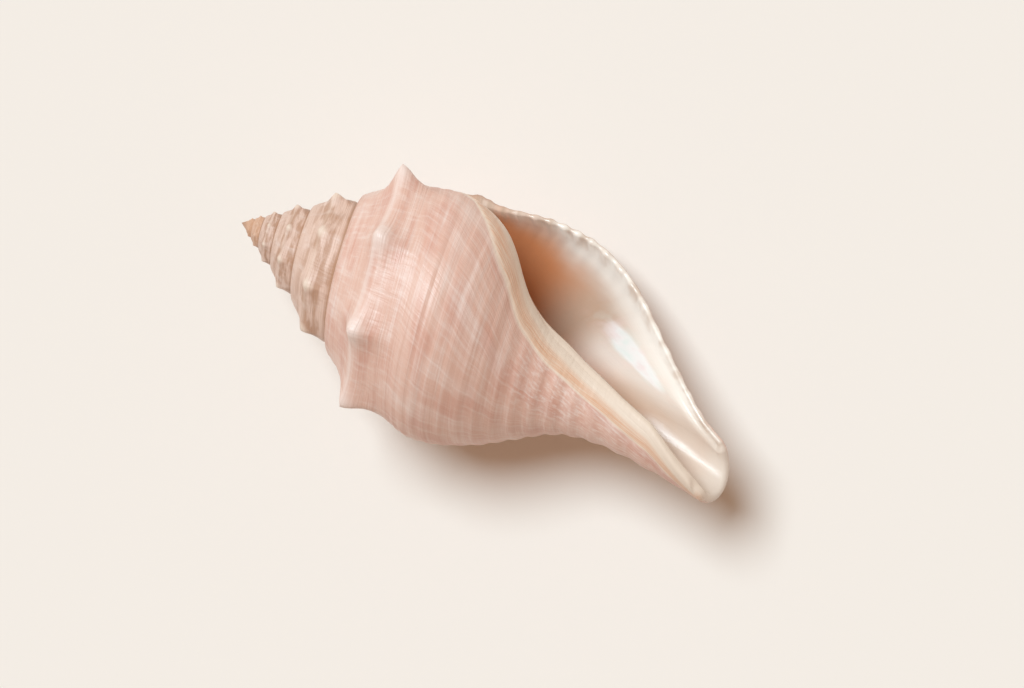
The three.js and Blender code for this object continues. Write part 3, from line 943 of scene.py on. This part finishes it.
@dataclass
class CoilTree:
    """Geometry Nodes tree that shrinks, coils and sculpts the uncoiled skin."""

    form: GrowthForm
    relief: Relief
    finish: bpy.types.Material

    def sockets(self) -> dict[str, float | int]:
        """Named inputs of the tree with their values.

        Returns:
            Name and value of each.
        """
        form, relief = self.form, self.relief
        return {
            "Growth": form.growth,
            "Canal Bend": form.canal_bend,
            "Bend Start": form.bend_start,
            "Bend Length": form.bend_length,
            "Bend Power": form.bend_power,
            "Knobs per Turn": float(relief.knobs_per_turn),
            "Knob Phase": relief.knob_phase,
            "Knob Height": relief.knob_height,
            "Knob Across": relief.knob_across,
            "Knob Above": relief.knob_above,
            "Knob Below": relief.knob_below,
            "Knob Lean": relief.knob_lean,
            "Knob Half Length": relief.knob_half_length,
            "Ridge Height": relief.ridge_height,
            "Fold Height": relief.fold_height,
            "Seam Step": relief.seam_step,
            "Cord Depth": relief.cord_depth,
            "Cords": relief.cord_count,
            "Callus Height": relief.callus_height,
            "Pleat Height": relief.pleat_height,
            "Pleats": relief.pleats,
            "Seed": relief.seed,
        }

    def build(self) -> bpy.types.NodeTree:
        """Builds the tree.

        Returns:
            The node group.
        """
        tree = bpy.data.node_groups.new("coil the shell", "GeometryNodeTree")
        tree.interface.new_socket("Geometry", in_out="INPUT", socket_type="NodeSocketGeometry")
        tree.interface.new_socket("Geometry", in_out="OUTPUT", socket_type="NodeSocketGeometry")
        for name, value in self.sockets().items():
            kind = "NodeSocketInt" if isinstance(value, int) else "NodeSocketFloat"
            tree.interface.new_socket(name, in_out="INPUT", socket_type=kind).default_value = value
        tree.interface.new_socket("Finish", in_out="INPUT", socket_type="NodeSocketMaterial")
        graph = Graph(tree)
        given = graph.node("NodeGroupInput").outputs
        coiled = self.coil(graph, given)
        sculpted = self.sculpt(graph, given, coiled)
        realized = graph.node("GeometryNodeRealizeInstances")
        dressed = graph.node("GeometryNodeSetMaterial")
        graph.feed(sculpted, realized.inputs["Geometry"])
        graph.feed(realized.outputs[0], dressed.inputs["Geometry"])
        graph.feed(given["Finish"], dressed.inputs["Material"])
        graph.feed(dressed.outputs[0], graph.node("NodeGroupOutput").inputs[0])
        return tree

    @staticmethod
    def read(graph: Graph, name: str) -> bpy.types.NodeSocket:
        """A named attribute.

        Args:
            graph: the tree.
            name: name of the attribute.

        Returns:
            Its value.
        """
        made = graph.node("GeometryNodeInputNamedAttribute", data_type="FLOAT")
        made.inputs["Name"].default_value = name
        return made.outputs["Attribute"]

    def knob(self, graph: Graph, given: bpy.types.NodeOutputs, turn: Value) -> tuple[Value, Value]:
        """Strength of the nearest knob at a turn.

        Args:
            graph: the tree.
            given: the tree's inputs.
            turn: the turn.

        Returns:
            The knob's height share here, and its full size.
        """
        count = graph.math("SUBTRACT", given["Knob Phase"], graph.times(turn, given["Knobs per Turn"]))
        nearest = graph.math("ROUND", count)
        sizes = graph.node("GeometryNodeIndexSwitch", data_type="FLOAT")
        while len(sizes.index_switch_items) < len(self.relief.knob_sizes):
            sizes.index_switch_items.new()
        for size, socket in zip(self.relief.knob_sizes, sizes.inputs[1:]):
            socket.default_value = size
        graph.feed(graph.math("FLOORED_MODULO", graph.add(nearest, 0.01), given["Knobs per Turn"]), sizes.inputs[0])
        strength = graph.times(
            graph.between(0.62, 1.0, graph.ease(-1.15, -0.95, turn)),
            graph.rest(graph.times(0.6, graph.ease(-0.12, 0.0, turn))),
        )
        away = graph.math("ABSOLUTE", graph.math("SUBTRACT", count, nearest))
        return graph.peak(away, given["Knob Half Length"]), graph.times(sizes.outputs[0], strength)

    def raised(self, graph: Graph, given: bpy.types.NodeOutputs) -> tuple[Value, Value, Value]:
        """Extra radius of knobs, shoulder ridge, folds and cords.

        Args:
            graph: the tree.
            given: the tree's inputs.

        Returns:
            The extra radius at lip size, how far the knobs lean up the spire, and the crest along the shoulder.
        """
        turn, across = self.read(graph, "turn"), self.read(graph, "across")
        lobe, size = self.knob(graph, given, turn)
        off = graph.math("SUBTRACT", across, given["Knob Across"])
        slope = graph.between(given["Knob Above"], given["Knob Below"], graph.math("GREATER_THAN", off, 0.0))
        over = graph.peak(graph.math("ABSOLUTE", off), slope)
        knob = graph.times(lobe, over, size, given["Knob Height"])
        spire = graph.rest(graph.ease(-1.15, -0.95, turn))
        knobs = graph.add(knob, graph.times(over, given["Ridge Height"], graph.rest(graph.times(spire, 0.45))))
        crest = graph.times(over, graph.between(graph.between(0.4, 0.12, spire), 1.0, lobe))
        window = graph.times(graph.ease(0.05, 0.5, across), graph.rest(graph.ease(0.75, 1.0, across)))
        folds = graph.times(lobe, window, given["Fold Height"])
        swelling = graph.times(graph.ease(0.0, 0.05, across), graph.rest(graph.ease(0.05, 0.3, across)))
        seam = graph.times(graph.add(swelling, graph.times(graph.hill(across, 0.0, 0.02), -0.6)), given["Seam Step"])
        wave = graph.math("COSINE", graph.times(across, given["Cords"], math.tau))
        quiet = graph.times(graph.ease(0.0, 0.2, across), graph.rest(graph.ease(1.85, 2.0, across)))
        coarse = graph.between(1.0, 2.6, graph.ease(1.3, 1.5, across))
        glazed = graph.times(graph.ease(-0.1, 0.1, callus_share(graph, turn, across)), graph.rest(graph.ease(-0.6, -0.5, turn)))
        bare = graph.rest(graph.times(glazed, graph.ease(1.0, 1.06, across)))
        cords = graph.times(wave, quiet, coarse, bare, given["Cord Depth"])
        outer = self.read(graph, "outer")
        return graph.times(graph.add(knobs, folds, seam, cords), outer), graph.times(knob, given["Knob Lean"], outer), crest

    def coil(self, graph: Graph, given: bpy.types.NodeOutputs) -> bpy.types.NodeSocket:
        """Shrinks each place with its turn and winds it round the axis.

        Args:
            graph: the tree.
            given: the tree's inputs.

        Returns:
            The coiled geometry.
        """
        flat = graph.node("ShaderNodeSeparateXYZ")
        graph.feed(graph.node("GeometryNodeInputPosition").outputs[0], flat.inputs[0])
        raised, lean, crest = self.raised(graph, given)
        size = graph.math("POWER", given["Growth"], self.read(graph, "turn"))
        angle = graph.times(flat.outputs[0], math.tau)
        radius = graph.times(graph.add(flat.outputs[1], raised), size)
        height = graph.times(graph.math("SUBTRACT", flat.outputs[2], lean), size)
        beyond = graph.math("DIVIDE", graph.math("SUBTRACT", height, given["Bend Start"]), given["Bend Length"])
        bend = graph.math("POWER", graph.math("MAXIMUM", beyond, 0.0), given["Bend Power"])
        sideways = graph.math("SUBTRACT", graph.times(radius, graph.math("COSINE", angle)), graph.times(bend, given["Canal Bend"]))
        moved = graph.node("GeometryNodeSetPosition")
        stored = graph.node("GeometryNodeStoreNamedAttribute", data_type="FLOAT", domain="POINT")
        stored.inputs["Name"].default_value = "crest"
        graph.feed(given["Geometry"], stored.inputs["Geometry"])
        graph.feed(crest, stored.inputs["Value"])
        graph.feed(stored.outputs[0], moved.inputs["Geometry"])
        graph.feed(graph.vector(sideways, graph.times(radius, graph.math("SINE", angle)), height), moved.inputs["Position"])
        return moved.outputs[0]

    def sculpt(self, graph: Graph, given: bpy.types.NodeOutputs, coiled: bpy.types.NodeSocket) -> bpy.types.NodeSocket:
        """Pleats the outer lip and thickens the callus, straight out of the surface.

        Args:
            graph: the tree.
            given: the tree's inputs.
            coiled: the coiled geometry.

        Returns:
            The sculpted geometry.
        """
        turn, across = self.read(graph, "turn"), self.read(graph, "across")
        depth, inner = self.read(graph, "depth"), self.read(graph, "inner")
        wander = graph.noise(graph.vector(graph.times(across, 6.0), given["Seed"]), 1.0)
        beat = graph.add(graph.times(across, given["Pleats"]), graph.times(wander, 1.6))
        wave = graph.math("COSINE", graph.times(beat, math.tau / 2))
        near = graph.times(graph.rest(graph.ease(0.0, 0.04, depth)), graph.ease(-0.02, 0.0, turn))
        inside = graph.times(graph.rest(graph.ease(0.002, 0.03, depth)), graph.rest(graph.ease(0.0, 0.1, inner)),
                             graph.rest(self.read(graph, "outer")))
        where = graph.times(graph.ease(0.25, 0.6, across), graph.rest(graph.ease(1.45, 1.75, across)))
        pleats = graph.times(graph.add(wave, 0.4), where, graph.add(inside, graph.times(near, 0.5)), given["Pleat Height"])
        glazed = graph.times(graph.ease(0.0, 0.12, callus_share(graph, turn, across)), graph.ease(1.0, 1.06, across))
        glazed = graph.times(glazed, graph.rest(graph.ease(-0.6, -0.5, turn)), graph.rest(graph.ease(1.5, 1.8, across)))
        swell = graph.times(glazed, self.read(graph, "outer"), given["Callus Height"])
        moved = graph.node("GeometryNodeSetPosition")
        scaled = graph.node("ShaderNodeVectorMath", operation="SCALE")
        graph.feed(graph.node("GeometryNodeInputNormal").outputs[0], scaled.inputs[0])
        graph.feed(graph.add(pleats, swell), scaled.inputs["Scale"])
        graph.feed(coiled, moved.inputs["Geometry"])
        graph.feed(scaled.outputs[0], moved.inputs["Offset"])
        return moved.outputs[0]

    def apply(self, skin: bpy.types.Object) -> bpy.types.Mesh:
        """Runs the tree on the skin.

        Args:
            skin: the uncoiled skin.

        Returns:
            The finished mesh, free of modifiers.
        """
        tree = self.build()
        modifier = skin.modifiers.new("coil", "NODES")
        modifier.node_group = tree
        values: dict[str, object] = dict(self.sockets())
        values["Finish"] = self.finish
        for item in tree.interface.items_tree:
            if item.in_out == "INPUT" and item.name in values:
                modifier[item.identifier] = values[item.name]
        seen = skin.evaluated_get(bpy.context.evaluated_depsgraph_get())
        mesh = bpy.data.meshes.new_from_object(seen)
        skin.modifiers.remove(modifier)
        return mesh


# Finish --------------------------------------------------------------------------------------------------------
class Layer:
    """Colour mixing over a graph."""

    def __init__(self, graph: Graph) -> None:
        """Keeps the graph.

        Args:
            graph: the material's tree.
        """
        self.graph = graph

    def read(self, name: str) -> bpy.types.NodeSocket:
        """A named attribute.

        Args:
            name: name of the attribute.

        Returns:
            Its value.
        """
        return self.graph.node("ShaderNodeAttribute", attribute_name=name).outputs["Fac"]

    def over(self, base: object, top: object, share: Value, mode: str = "MIX") -> bpy.types.NodeSocket:
        """One colour laid over another.

        Args:
            base: colour below.
            top: colour above.
            share: how much of it shows.
            mode: how it is laid.

        Returns:
            The colour.
        """
        made = self.graph.node("ShaderNodeMix", data_type="RGBA", blend_type=mode)
        for value, socket in zip((share, base, top), (made.inputs[0], made.inputs[6], made.inputs[7])):
            self.graph.feed((*value, 1.0) if isinstance(value, tuple) else value, socket)
        return made.outputs[2]


@dataclass(frozen=True)
class ShellFinish:
    """Satin pink shell, tan spire, cream callus and pearly mouth, with painted shade along the sutures and a painted
    highlight and painted mint and rose sheen inside the outer lip.
    """

    name: str = "satin shell"
    pink: Colour = (0.76, 0.485, 0.385)
    deep_pink: Colour = (0.69, 0.385, 0.295)
    milk: Colour = (0.90, 0.76, 0.69)
    tan: Colour = (0.78, 0.56, 0.455)
    brown: Colour = (0.45, 0.235, 0.135)
    cream: Colour = (0.85, 0.71, 0.58)
    peach: Colour = (0.76, 0.44, 0.27)
    pearl: Colour = (0.94, 0.87, 0.78)
    taupe: Colour = (0.58, 0.42, 0.31)
    terracotta: Colour = (0.70, 0.29, 0.13)
    # mint and rose of the painted iridescent sheen inside the outer lip
    painted_sheen_mint: Colour = (0.78, 0.90, 0.82)
    painted_sheen_rose: Colour = (0.93, 0.72, 0.68)
    # near-white of the painted highlight inside the outer lip
    highlight_white: Colour = (0.98, 0.97, 0.94)
    roughness: float = 0.42
    specular: float = 0.5

    def build(self) -> bpy.types.Material:
        """Builds the material.

        Returns:
            The material.
        """
        material = bpy.data.materials.new(self.name)
        material.use_nodes = True
        graph = Graph(material.node_tree)
        layer = Layer(graph)
        grow, down = layer.read("grow"), layer.read("down")
        outside = self.outside(graph, layer, grow, down)
        mouth = self.mouth(graph, layer, grow, down)
        inside = graph.rest(graph.ease(0.45, 0.95, layer.read("outer")))
        colour = layer.over(outside, mouth, inside)
        shader = graph.node("ShaderNodeBsdfPrincipled")
        graph.feed(colour, shader.inputs["Base Color"])
        cloud = graph.noise(graph.vector(graph.times(grow, 9.0), graph.times(down, 4.0)), 2.0)
        rough = graph.add(self.roughness, graph.times(graph.math("SUBTRACT", cloud, 0.5), 0.25), graph.times(inside, -0.2))
        graph.feed(rough, shader.inputs["Roughness"])
        shader.inputs["Specular IOR Level"].default_value = self.specular
        graph.feed(self.bump(graph, layer, grow, down, inside), shader.inputs["Normal"])
        output = graph.node("ShaderNodeOutputMaterial")
        graph.feed(shader.outputs[0], output.inputs["Surface"])
        return material

    def outside(self, graph: Graph, layer: Layer, grow: Value, down: Value) -> bpy.types.NodeSocket:
        """Colour of the outside, from the tan spire to the pink body and the cream callus, with painted shade along the
        sutures.

        Args:
            graph: the material's tree.
            layer: its colours.
            grow: turn of each place.
            down: place across of each place.

        Returns:
            The colour.
        """
        threads = graph.noise(graph.vector(graph.times(grow, 9.0), graph.times(down, 70.0), 5.0), 1.0, 3.0, 0.6)
        lines = graph.noise(graph.vector(graph.times(grow, 120.0), graph.times(down, 5.0)), 1.0, 3.0, 0.6)
        bands = graph.noise(graph.vector(graph.times(grow, 5.0), graph.times(down, 14.0), 2.0), 1.0, 2.0)
        rays = graph.noise(graph.vector(graph.times(grow, 26.0), graph.times(down, 2.0), 7.0), 1.0, 2.0)
        cloud = graph.noise(graph.vector(graph.times(grow, 12.0), graph.times(down, 7.0), 9.0), 1.0, 3.0)
        body = layer.over(self.pink, self.deep_pink, graph.ease(0.42, 0.68, cloud))
        broad = graph.add(graph.times(graph.ease(0.48, 0.72, rays), 0.22), graph.times(graph.ease(0.5, 0.7, bands), 0.22))
        fine = graph.add(graph.times(graph.ease(0.45, 0.7, lines), 0.26), graph.times(graph.ease(0.45, 0.7, threads), 0.26))
        body = layer.over(body, self.milk, graph.add(broad, fine))
        slant = graph.times(grow, 60.0)
        lattice = graph.noise(graph.vector(graph.add(slant, graph.times(down, 30.0)), graph.add(slant, graph.times(down, -30.0)), 8.0), 1.0)
        low = graph.times(graph.ease(1.4, 1.6, down), graph.rest(graph.ease(-0.72, -0.55, grow)))
        body = layer.over(body, self.deep_pink, graph.times(low, graph.rest(graph.ease(0.36, 0.52, lattice)), 0.4))
        body = layer.over(body, self.milk, graph.times(low, graph.ease(0.5, 0.66, lattice), 0.4))
        crest = layer.read("crest")
        line = graph.times(graph.hill(down, 0.61, 0.03), graph.between(0.2, 0.7, graph.ease(-1.12, -0.98, grow)))
        worn = graph.math("MAXIMUM", graph.ease(0.35, 0.9, crest), line)
        hollow = graph.times(graph.ease(0.4, 0.6, cloud), graph.rest(worn), graph.ease(0.2, 0.55, down))
        spire = layer.over(self.tan, self.brown, graph.times(hollow, 0.72))
        spire = layer.over(spire, self.brown, graph.times(graph.ease(0.48, 0.66, threads), 0.42))
        spire = layer.over(spire, self.milk, graph.times(graph.ease(0.5, 0.72, rays), 0.35))
        spire = layer.over(spire, self.cream, graph.times(worn, 0.7))
        body = layer.over(body, self.milk, graph.times(worn, 0.7))
        body = layer.over(body, spire, graph.rest(graph.ease(-1.12, -0.98, grow)))
        tip = layer.over(body, self.peach, graph.times(graph.rest(graph.ease(-5.2, -3.6, grow)), 0.8))
        # Painted shade: a thin brown line along each suture stands in for the shadow in the step where one whorl
        # overlaps the last.
        below = graph.times(graph.hill(down, 1.0, 0.035), graph.rest(graph.ease(-1.1, -1.0, grow)))
        seam = graph.times(graph.add(graph.hill(down, 0.0, 0.035), below), graph.ease(-5.4, -4.6, grow))
        seam = graph.times(seam, graph.rest(graph.ease(-0.3, -0.1, grow)))
        body = layer.over(tip, self.brown, graph.times(seam, 0.9))
        share = callus_share(graph, grow, down)
        streaks = graph.noise(graph.vector(graph.times(grow, 45.0), graph.add(graph.times(down, 60.0), graph.times(grow, 260.0))), 1.0)
        fringe = graph.times(graph.ease(0.02, 0.12, share), graph.rest(graph.ease(0.3, 0.65, share)))
        callus = layer.over(self.cream, self.peach, graph.times(fringe, graph.between(0.35, 1.0, graph.ease(0.35, 0.65, streaks))))
        below = graph.times(graph.ease(0.99, 1.03, down), graph.rest(graph.ease(-0.5, -0.4, grow)))
        body = layer.over(body, callus, graph.times(graph.ease(-0.05, 0.06, share), below))
        rim = graph.times(graph.ease(-0.01, 0.0, grow), graph.ease(0.1, 0.5, down), graph.rest(graph.ease(1.7, 1.9, down)))
        return layer.over(body, self.brown, graph.times(rim, 0.7))

    def mouth(self, graph: Graph, layer: Layer, grow: Value, down: Value) -> bpy.types.NodeSocket:
        """Colour of the inside, from the pearly lip to the terracotta throat, with a painted highlight and painted mint
        and rose sheen on the inner wall of the outer lip.

        Args:
            graph: the material's tree.
            layer: its colours.
            grow: turn of each place.
            down: place across of each place.

        Returns:
            The colour.
        """
        depth, inner = layer.read("depth"), layer.read("inner")
        cloud = graph.noise(graph.vector(graph.times(grow, 22.0), graph.times(down, 4.0), 2.0), 1.0, 2.0)
        top = graph.rest(graph.ease(1.12, 1.3, down))
        reach = graph.add(depth, graph.times(graph.math("SUBTRACT", cloud, 0.5), 0.03), graph.times(top, 0.018))
        upper = graph.rest(graph.ease(1.5, 1.72, down))
        reach = graph.add(reach, graph.times(graph.rest(graph.ease(0.9, 1.25, down)), 0.02))
        colour = layer.over(self.pearl, self.taupe, graph.times(graph.ease(0.012, 0.07, reach), graph.between(0.15, 1.0, upper)))
        high = graph.rest(graph.ease(1.2, 1.5, down))
        warm = graph.times(graph.ease(0.02, 0.07, reach), graph.between(0.12, 1.0, high))
        colour = layer.over(colour, self.terracotta, warm)
        colour = layer.over(colour, self.terracotta, graph.times(graph.ease(0.12, 0.25, depth), 0.9))
        beads = graph.noise(graph.vector(graph.times(down, 16.0), graph.times(depth, 20.0), 6.0), 1.0)
        edge = graph.times(graph.rest(graph.ease(0.0, 0.02, depth)), graph.rest(graph.ease(0.0, 0.1, inner)))
        colour = layer.over(colour, self.taupe, graph.times(edge, graph.ease(0.42, 0.6, beads), 0.6))
        sheen = graph.noise(graph.vector(graph.times(grow, 26.0), graph.times(down, 14.0), 4.0), 1.0, 2.0)
        # Painted highlight: a white patch on the inner wall of the outer lip, broken up by noise, stands in for the key
        # light's reflection.
        window = graph.times(graph.hill(depth, 0.08, 0.03), graph.hill(down, 1.71, 0.15), graph.rest(inner))
        highlight_breaks = graph.noise(graph.vector(graph.times(grow, 40.0), graph.times(down, 9.0), 11.0), 1.0, 3.0)
        painted_highlight = graph.ease(0.3, 0.62, graph.times(window, graph.add(highlight_breaks, 0.4)))
        colour = layer.over(colour, self.highlight_white, graph.times(painted_highlight, 0.8))
        # Painted sheen: mint and rose patches over the painted highlight stand in for the nacre's iridescent sheen.
        colour = layer.over(colour, self.painted_sheen_mint, graph.times(graph.ease(0.48, 0.66, sheen), window, 0.5))
        colour = layer.over(colour, self.painted_sheen_rose, graph.times(graph.rest(graph.ease(0.36, 0.5, sheen)), window, 0.5))
        canal = graph.times(graph.ease(0.08, 0.17, depth), graph.ease(1.75, 1.9, down))
        colour = layer.over(colour, self.taupe, graph.times(graph.ease(1.82, 1.98, down), 0.45))
        colour = layer.over(colour, self.taupe, graph.times(canal, 0.55))
        return layer.over(colour, self.cream, graph.times(graph.ease(0.6, 1.0, inner), graph.rest(graph.ease(0.0, 0.08, depth))))

    def bump(self, graph: Graph, layer: Layer, grow: Value, down: Value, inside: Value) -> bpy.types.NodeSocket:
        """Fine growth lines and threads.

        Args:
            graph: the material's tree.
            layer: its colours; not used.
            grow: turn of each place.
            down: place across of each place.
            inside: share of the inside finish.

        Returns:
            The bumped normal.
        """
        lines = graph.noise(graph.vector(graph.times(grow, 170.0), graph.times(down, 3.0)), 1.0, 3.0, 0.6)
        threads = graph.noise(graph.vector(graph.times(grow, 3.0), graph.times(down, 60.0)), 1.0, 2.0)
        height = graph.times(graph.add(lines, threads), graph.rest(graph.times(inside, 0.8)))
        made = graph.node("ShaderNodeBump")
        made.inputs["Strength"].default_value = 0.55
        made.inputs["Distance"].default_value = 0.4 * MM
        graph.feed(height, made.inputs["Height"])
        return made.outputs[0]


# The shell as a piece ------------------------------------------------------------------------------------------
@dataclass(frozen=True)
class Attitude:
    """How the shell lies: on two shoulder knobs and the bulge of its body, with the canal end lifted."""

    floor_azimuth: float = -87.7
    canal_lift: float = 3.95

    def rotation(self) -> np.ndarray:
        """Turns the shell's own frame to the resting frame.

        Returns:
            A 3 by 3 matrix.
        """
        side, lift = math.radians(self.floor_azimuth), math.radians(self.canal_lift)
        up = np.array([-math.cos(side) * math.cos(lift), -math.sin(side) * math.cos(lift), math.sin(lift)])
        along = unit(np.array([0.0, 0.0, 1.0]) - up[2] * up)
        return np.stack([along, np.cross(up, along), up])


@dataclass
class ConchShell:
    """The whole shell: one piece grown in one go."""

    node: str = "shell"
    form: GrowthForm = field(default_factory=GrowthForm)
    relief: Relief = field(default_factory=Relief)
    attitude: Attitude = field(default_factory=Attitude)
    finish: ShellFinish = field(default_factory=ShellFinish)

    def placing(self, solid: bpy.types.Object) -> Matrix:
        """Matrix from the shell's own millimetres to its place in the resting frame, in metres.

        Args:
            solid: the plain solid of the shell, whose spire tip is the lowest point along X.

        Returns:
            The 4 by 4 matrix.
        """
        turn = self.attitude.rotation()
        tip = min((solid.matrix_world @ vertex.co for vertex in solid.data.vertices), key=lambda place: place.x)
        shift = np.array(tip) - turn @ np.array([0.0, 0.0, self.form.apex_height]) * MM
        matrix = np.eye(4)
        matrix[:3, :3] = turn * MM
        matrix[:3, 3] = shift
        return Matrix(matrix.tolist())

    def build(self, solid: bpy.types.Object) -> bpy.types.Object:
        """Builds and dresses the shell.

        Args:
            solid: the plain solid of the shell.

        Returns:
            The finished piece.
        """
        skin = SkinLayout(self.form).build("uncoiled skin")
        mesh = CoilTree(self.form, self.relief, self.finish.build()).apply(skin)
        bpy.data.objects.remove(skin)
        mesh.transform(self.placing(solid))
        mesh.name = "conch_shell"
        piece = bpy.data.objects.new("conch_shell", mesh)
        bpy.context.scene.collection.objects.link(piece)
        mesh.shade_smooth()
        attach(piece, "root")
        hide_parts(self.node)
        log.info("shell: %d faces", len(mesh.polygons))
        return piece


# The table, the light and the camera ---------------------------------------------------------------------------
@dataclass(frozen=True)
class Studio:
    """Plain pale table, soft light from the upper left and a camera looking almost straight down."""

    table: Colour = (0.86, 0.806, 0.743)
    table_size: float = 6.0
    sky: Colour = (1.0, 0.68, 0.48)
    sky_strength: float = 0.36
    key: Colour = (0.7866, 0.9179, 1.0)
    key_strength: float = 3.093
    key_softness: float = 0.42
    key_elevation: float = 63.0
    key_leftward: float = 0.8
    lens: float = 85.0
    distance: float = 0.725
    view_from: tuple[float, float, float] = (0.0, 1.0, 0.0786)
    view_up: tuple[float, float, float] = (0.926, 0.0, -0.378)
    aim: tuple[float, float, float] = (-3.17, -1.2, 90.3)

    def build_table(self) -> None:
        """Pale matt table top."""
        half = self.table_size / 2
        mesh = bpy.data.meshes.new("table")
        mesh.from_pydata([(-half, -half, 0), (half, -half, 0), (half, half, 0), (-half, half, 0)], [], [(0, 1, 2, 3)])
        material = bpy.data.materials.new("pale table")
        material.use_nodes = True
        shader = material.node_tree.nodes["Principled BSDF"]
        shader.inputs["Base Color"].default_value = (*self.table, 1.0)
        shader.inputs["Roughness"].default_value = 0.9
        shader.inputs["Specular IOR Level"].default_value = 0.1
        mesh.materials.append(material)
        table = bpy.data.objects.new("table", mesh)
        bpy.context.scene.collection.objects.link(table)

    def build_light(self, right: Vector, up: Vector) -> None:
        """Soft key light and an even sky.

        Args:
            right: direction to the right of the view, in the resting frame.
            up: direction up in the view.
        """
        world = bpy.data.worlds.new("even sky")
        world.use_nodes = True
        sky = world.node_tree.nodes["Background"]
        sky.inputs["Color"].default_value = (*self.sky, 1.0)
        sky.inputs["Strength"].default_value = self.sky_strength
        bpy.context.scene.world = world
        sun = bpy.data.lights.new("key", "SUN")
        sun.energy, sun.angle, sun.color = self.key_strength, self.key_softness, self.key
        key = bpy.data.objects.new("key", sun)
        level = Vector((up.x - right.x * self.key_leftward, up.y - right.y * self.key_leftward, 0.0)).normalized()
        height = math.radians(self.key_elevation)
        toward = level * math.cos(height) + Vector((0, 0, math.sin(height)))
        key.rotation_euler = toward.to_track_quat("Z", "Y").to_euler()
        bpy.context.scene.collection.objects.link(key)

    def build_camera(self, placing: Matrix) -> tuple[Vector, Vector]:
        """Camera aimed in the shell's own frame.

        Args:
            placing: matrix from the shell's own millimetres to the resting frame.

        Returns:
            The view's right and up directions.
        """
        turn = placing.to_3x3() * (1 / MM)
        back = (turn @ Vector(self.view_from)).normalized()
        up = turn @ Vector(self.view_up)
        up = (up - back * up.dot(back)).normalized()
        right = up.cross(back)
        data = bpy.data.cameras.new("camera")
        data.lens = self.lens
        camera = bpy.data.objects.new("camera", data)
        bpy.context.scene.collection.objects.link(camera)
        place = placing @ Vector(self.aim) + back * self.distance
        camera.matrix_world = Matrix.Translation(place) @ Matrix((right, up, back)).transposed().to_4x4()
        bpy.context.scene.camera = camera
        return right, up

    def build(self, placing: Matrix) -> None:
        """Builds the whole studio.

        Args:
            placing: matrix from the shell's own millimetres to the resting frame.
        """
        self.build_table()
        right, up = self.build_camera(placing)
        self.build_light(right, up)
        bpy.context.scene.view_settings.view_transform = "Standard"


def main() -> None:
    """Builds the shell and its studio."""
    logging.basicConfig(level=logging.INFO, format="%(name)s: %(message)s")
    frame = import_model()
    shell = ConchShell()
    solid = frame["nodes"][shell.node]
    placing = shell.placing(solid)
    shell.build(solid)
    Studio().build(placing)


if __name__ == "__main__":
    main()
